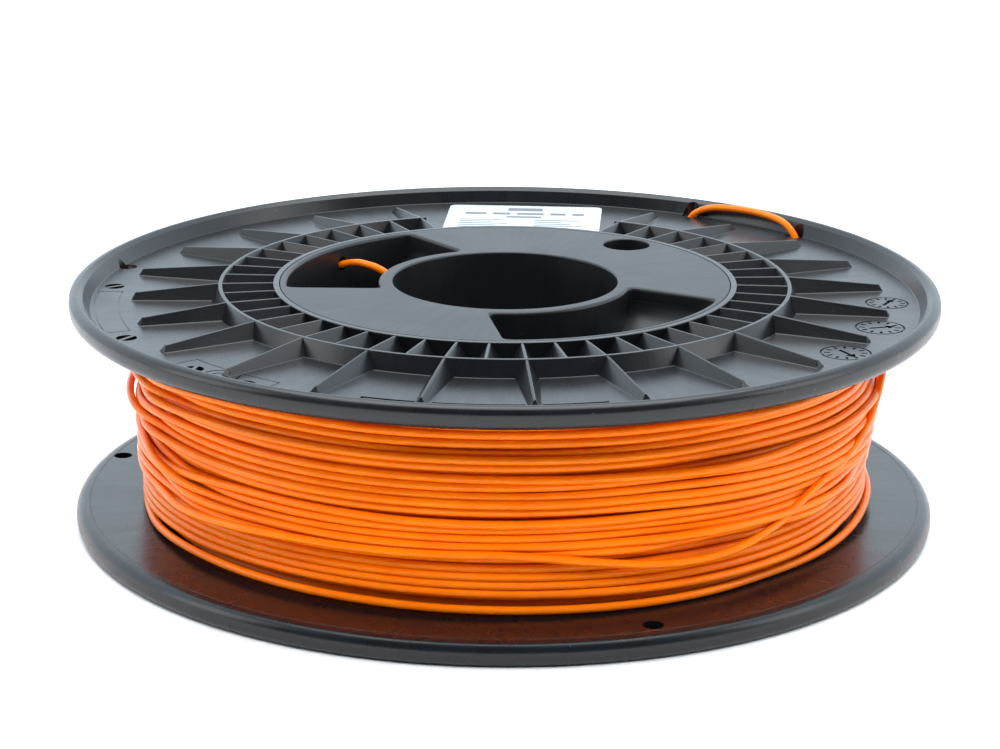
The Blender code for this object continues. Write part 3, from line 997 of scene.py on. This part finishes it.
def build_label(paper, ink):
    low = PLATE_Z + 0.05 * MM
    top = low + PAPER_THICK
    corners = [
        (LABEL_HIGH.x, LABEL_LOW.y, LABEL_CORNER),
        (LABEL_HIGH.x, LABEL_HIGH.y, LABEL_CORNER),
        (LABEL_LOW.x, LABEL_HIGH.y, LABEL_CORNER),
        (LABEL_LOW.x, LABEL_LOW.y, LABEL_CORNER),
    ]
    sheet = prism("paper_label", rounded(corners, 8), low, top)
    shade(sheet)
    finish_piece(sheet, paper, "label_paper", "label")
    bars = []
    for x, y, length, thick in label_print():
        outline = bar_outline(x, y, length, thick, 0.0)
        bars.append(prism("print", outline, top - INK_THICK, top + INK_THICK))
    print_object = joined("label_print", bars)
    finish_piece(print_object, ink, "label_paper")


def label_print():
    """Plain bars in place of the label's words: (x, y, length, thickness), outer edge first."""
    outer_y = LABEL_HIGH.y
    bars = [(0.0, outer_y - 4.4 * MM, 9.0 * MM, 3.2 * MM)]
    left = -15.5 * MM
    for length in (5.5, 4.5, 7.0, 4.0, 3.0):
        bars.append((left + length * MM / 2, outer_y - 9.2 * MM, length * MM, 2.2 * MM))
        left += (length + 1.75) * MM
    bars.append((0.0, outer_y - 12.8 * MM, 9.0 * MM, 1.8 * MM))
    lengths = (11.0, 8.5, 12.5, 9.5, 7.0, 11.5)
    for row in range(6):
        y = outer_y - (16.2 + 2.0 * row) * MM
        left = lengths[row] * MM
        right = lengths[5 - row] * MM
        bars.append((-16.5 * MM + left / 2, y, left, 0.7 * MM))
        bars.append((3.0 * MM + right / 2, y, right, 0.7 * MM))
    return bars


# --- Materials ----------------------------------------------------------------------


def principled(name):
    made = bpy.data.materials.new(name)
    made.use_nodes = True
    return made, made.node_tree, made.node_tree.nodes["Principled BSDF"]


def object_coordinates(tree):
    return tree.nodes.new("ShaderNodeTexCoord").outputs["Object"]


def noise(tree, vector, scale, detail):
    made = tree.nodes.new("ShaderNodeTexNoise")
    made.inputs["Scale"].default_value = scale
    made.inputs["Detail"].default_value = detail
    tree.links.new(vector, made.inputs["Vector"])
    return made.outputs["Fac"]


def spread(tree, value, low, high, start=0.3, end=0.7):
    """A value from start to end, mapped evenly to low to high."""
    made = tree.nodes.new("ShaderNodeMapRange")
    made.inputs["From Min"].default_value = start
    made.inputs["From Max"].default_value = end
    made.inputs["To Min"].default_value = low
    made.inputs["To Max"].default_value = high
    tree.links.new(value, made.inputs["Value"])
    return made.outputs["Result"]


def blended(tree, factor, first, second):
    """A colour between two, each given as a colour or as another node's output."""
    made = tree.nodes.new("ShaderNodeMix")
    made.data_type = "RGBA"
    tree.links.new(factor, made.inputs["Factor"])
    for socket, colour in ((made.inputs[6], first), (made.inputs[7], second)):
        if isinstance(colour, tuple):
            socket.default_value = (*colour, 1.0)
        else:
            tree.links.new(colour, socket)
    return made.outputs[2]


def combined(tree, operation, first, second):
    made = tree.nodes.new("ShaderNodeMath")
    made.operation = operation
    for socket, value in ((made.inputs[0], first), (made.inputs[1], second)):
        if isinstance(value, float):
            socket.default_value = value
        else:
            tree.links.new(value, socket)
    return made.outputs[0]


def bumped(tree, height, distance, strength=1.0, below=None):
    made = tree.nodes.new("ShaderNodeBump")
    made.inputs["Strength"].default_value = strength
    made.inputs["Distance"].default_value = distance
    tree.links.new(height, made.inputs["Height"])
    if below is not None:
        tree.links.new(below, made.inputs["Normal"])
    return made.outputs["Normal"]


def flow_coordinates(tree, around, along):
    """Coordinates that stretch a texture along the radius, with no seam round the axis."""
    coordinates = object_coordinates(tree)
    flat = tree.nodes.new("ShaderNodeVectorMath")
    flat.operation = "MULTIPLY"
    flat.inputs[1].default_value = (1.0, 1.0, 0.0)
    tree.links.new(coordinates, flat.inputs[0])
    unit = tree.nodes.new("ShaderNodeVectorMath")
    unit.operation = "NORMALIZE"
    tree.links.new(flat.outputs[0], unit.inputs[0])
    length = tree.nodes.new("ShaderNodeVectorMath")
    length.operation = "LENGTH"
    tree.links.new(flat.outputs[0], length.inputs[0])
    scaled = tree.nodes.new("ShaderNodeVectorMath")
    scaled.operation = "SCALE"
    scaled.inputs["Scale"].default_value = around
    tree.links.new(unit.outputs[0], scaled.inputs[0])
    parts = tree.nodes.new("ShaderNodeSeparateXYZ")
    tree.links.new(scaled.outputs[0], parts.inputs[0])
    whole = tree.nodes.new("ShaderNodeCombineXYZ")
    tree.links.new(parts.outputs[0], whole.inputs[0])
    tree.links.new(parts.outputs[1], whole.inputs[1])
    tree.links.new(combined(tree, "MULTIPLY", length.outputs["Value"], along), whole.inputs[2])
    return whole.outputs[0]


def moulded_plastic(name, dark, light, smooth, rough):
    """Black moulded plastic: cloudy gloss, faint flow lines from the gate, fine grain, dust."""
    made, tree, shader = principled(name)
    coordinates = object_coordinates(tree)
    clouds = noise(tree, coordinates, 70.0, 4.0)
    flow = noise(tree, flow_coordinates(tree, 30.0, 25.0), 1.0, 3.0)
    grain = noise(tree, coordinates, 2600.0, 2.0)
    cloudy = combined(tree, "MULTIPLY", clouds, 0.6)
    flowing = combined(tree, "MULTIPLY", flow, 0.4)
    tone = combined(tree, "ADD", cloudy, flowing)
    base = blended(tree, spread(tree, tone, 0.0, 1.0), dark, light)
    dust = spread(tree, noise(tree, coordinates, 1300.0, 1.0), 0.0, 0.5, 0.78, 0.84)
    tree.links.new(blended(tree, dust, base, (0.25, 0.25, 0.26)), shader.inputs["Base Color"])
    gloss = spread(tree, tone, smooth, rough)
    tree.links.new(gloss, shader.inputs["Roughness"])
    shader.inputs["IOR"].default_value = 1.5
    waves = bumped(tree, flow, 0.00006, 0.35)
    soft = bumped(tree, clouds, 0.0003, 0.2, waves)
    tree.links.new(bumped(tree, grain, 0.00001, 0.5, soft), shader.inputs["Normal"])
    return made


def filament_plastic():
    """Flexible orange filament: saturated body, soft gloss, faint drawing marks."""
    made, tree, shader = principled("orange filament")
    coordinates = object_coordinates(tree)
    clouds = noise(tree, coordinates, 120.0, 3.0)
    fine = noise(tree, coordinates, 1500.0, 2.0)
    base = blended(tree, spread(tree, clouds, 0.0, 1.0), (0.96, 0.185, 0.0), (1.0, 0.22, 0.001))
    tree.links.new(base, shader.inputs["Base Color"])
    tree.links.new(spread(tree, fine, 0.2, 0.27), shader.inputs["Roughness"])
    shader.inputs["Subsurface Weight"].default_value = 0.2
    shader.inputs["Subsurface Radius"].default_value = (1.0, 0.3, 0.06)
    shader.inputs["Subsurface Scale"].default_value = 0.0009
    shader.inputs["Specular IOR Level"].default_value = 0.36
    shader.inputs["IOR"].default_value = 1.38
    tree.links.new(bumped(tree, fine, 0.00001, 0.12), shader.inputs["Normal"])
    return made


def label_paper():
    """Coated white paper with a little tooth."""
    made, tree, shader = principled("label paper")
    coordinates = object_coordinates(tree)
    fibres = noise(tree, coordinates, 1800.0, 4.0)
    clouds = noise(tree, coordinates, 90.0, 2.0)
    base = blended(tree, spread(tree, clouds, 0.0, 1.0), (0.47, 0.515, 0.55), (0.52, 0.565, 0.6))
    tree.links.new(base, shader.inputs["Base Color"])
    tree.links.new(spread(tree, fibres, 0.45, 0.6), shader.inputs["Roughness"])
    tree.links.new(bumped(tree, fibres, 0.00002, 0.3), shader.inputs["Normal"])
    return made


def label_ink():
    """Grey thermal print, a little uneven."""
    made, tree, shader = principled("label print")
    density = noise(tree, object_coordinates(tree), 2400.0, 2.0)
    base = blended(tree, spread(tree, density, 0.0, 1.0), (0.12, 0.13, 0.14), (0.2, 0.21, 0.23))
    tree.links.new(base, shader.inputs["Base Color"])
    shader.inputs["Roughness"].default_value = 0.55
    return made


def floor_material():
    """Seamless white studio floor."""
    made, tree, shader = principled("studio floor")
    clouds = noise(tree, object_coordinates(tree), 3.0, 2.0)
    base = blended(tree, spread(tree, clouds, 0.0, 1.0), (0.9, 0.9, 0.9), (0.92, 0.92, 0.92))
    tree.links.new(base, shader.inputs["Base Color"])
    shader.inputs["Roughness"].default_value = 0.9
    shader.inputs["Specular IOR Level"].default_value = 0.1
    return made


# --- Studio -------------------------------------------------------------------------


def add_camera():
    data = bpy.data.cameras.new("Camera")
    data.lens = 95.6
    data.sensor_width = 36.0
    data.shift_x = -0.0045
    data.clip_start = 0.01
    camera = bpy.data.objects.new("Camera", data)
    bpy.context.scene.collection.objects.link(camera)
    azimuth = math.radians(3.5)
    elevation = math.radians(16.64)
    distance = 0.6214
    roll = 0.006
    target = Vector((0.0, 0.0, 0.032))
    flat = math.cos(elevation)
    back = Vector((math.sin(azimuth) * flat, -math.cos(azimuth) * flat, math.sin(elevation)))
    camera.location = target + back * distance
    camera.rotation_mode = "QUATERNION"
    camera.rotation_quaternion = back.to_track_quat("Z", "Y") @ Quaternion((0, 0, 1), roll)
    bpy.context.scene.camera = camera


def add_floor():
    half = 4.0
    corners = [(-half, -half, 0.0), (half, -half, 0.0), (half, half, 0.0), (-half, half, 0.0)]
    floor = mesh_object("floor", corners, [(0, 1, 2, 3)])
    floor.location.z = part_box("lower_flange")[0].z - 0.2 * MM
    floor.data.materials.append(floor_material())


def softbox(name, place, target, width, height, power, mirrored=True):
    data = bpy.data.lights.new(name, "AREA")
    data.shape = "RECTANGLE"
    data.size = width
    data.size_y = height
    data.energy = power
    light = bpy.data.objects.new(name, data)
    light.visible_glossy = mirrored
    bpy.context.scene.collection.objects.link(light)
    light.location = place
    direction = Vector(place) - Vector(target)
    light.rotation_mode = "QUATERNION"
    light.rotation_quaternion = direction.to_track_quat("Z", "Y")


def add_world():
    """A white studio: bright behind and above, dimmer towards the camera's side."""
    world = bpy.data.worlds.new("Studio")
    world.use_nodes = True
    tree = world.node_tree
    direction = tree.nodes.new("ShaderNodeTexCoord").outputs["Generated"]
    parts = tree.nodes.new("ShaderNodeSeparateXYZ")
    tree.links.new(direction, parts.inputs[0])
    depth = spread(tree, parts.outputs[1], 0.0, 1.0, -0.45, 0.35)
    colour = blended(tree, depth, (0.055, 0.065, 0.08), (0.79, 0.905, 1.0))
    background = tree.nodes["Background"]
    tree.links.new(colour, background.inputs["Color"])
    background.inputs["Strength"].default_value = 1.7
    bpy.context.scene.world = world


def add_lights():
    middle = (0.0, 0.0, 0.03)
    softbox("top softbox", (0.0, 0.1, 1.1), middle, 1.2, 0.9, 11.0)
    softbox("left softbox", (-1.0, -0.25, 0.45), middle, 0.5, 0.7, 2.6)
    softbox("right softbox", (1.0, -0.15, 0.45), middle, 0.5, 0.7, 2.6)
    softbox("front fill", (0.1, -0.78, 1.0), middle, 0.9, 0.4, 9.5, mirrored=False)


def main():
    add_camera()
    add_world()
    add_lights()
    add_floor()
    bpy.context.scene.view_settings.view_transform = "Standard"
    flange = moulded_plastic("flange plastic", FLANGE_DARK, FLANGE_LIGHT, 0.23, 0.33)
    hub = moulded_plastic("hub plastic", HUB_DARK, HUB_LIGHT, 0.36, 0.44)
    drum = moulded_plastic("drum plastic", DRUM_DARK, DRUM_LIGHT, 0.4, 0.5)
    filament = filament_plastic()
    build_flanges(flange)
    build_hubs(hub)
    build_drum(drum)
    build_winding(filament)
    build_ends(filament)
    build_label(label_paper(), label_ink())


main()
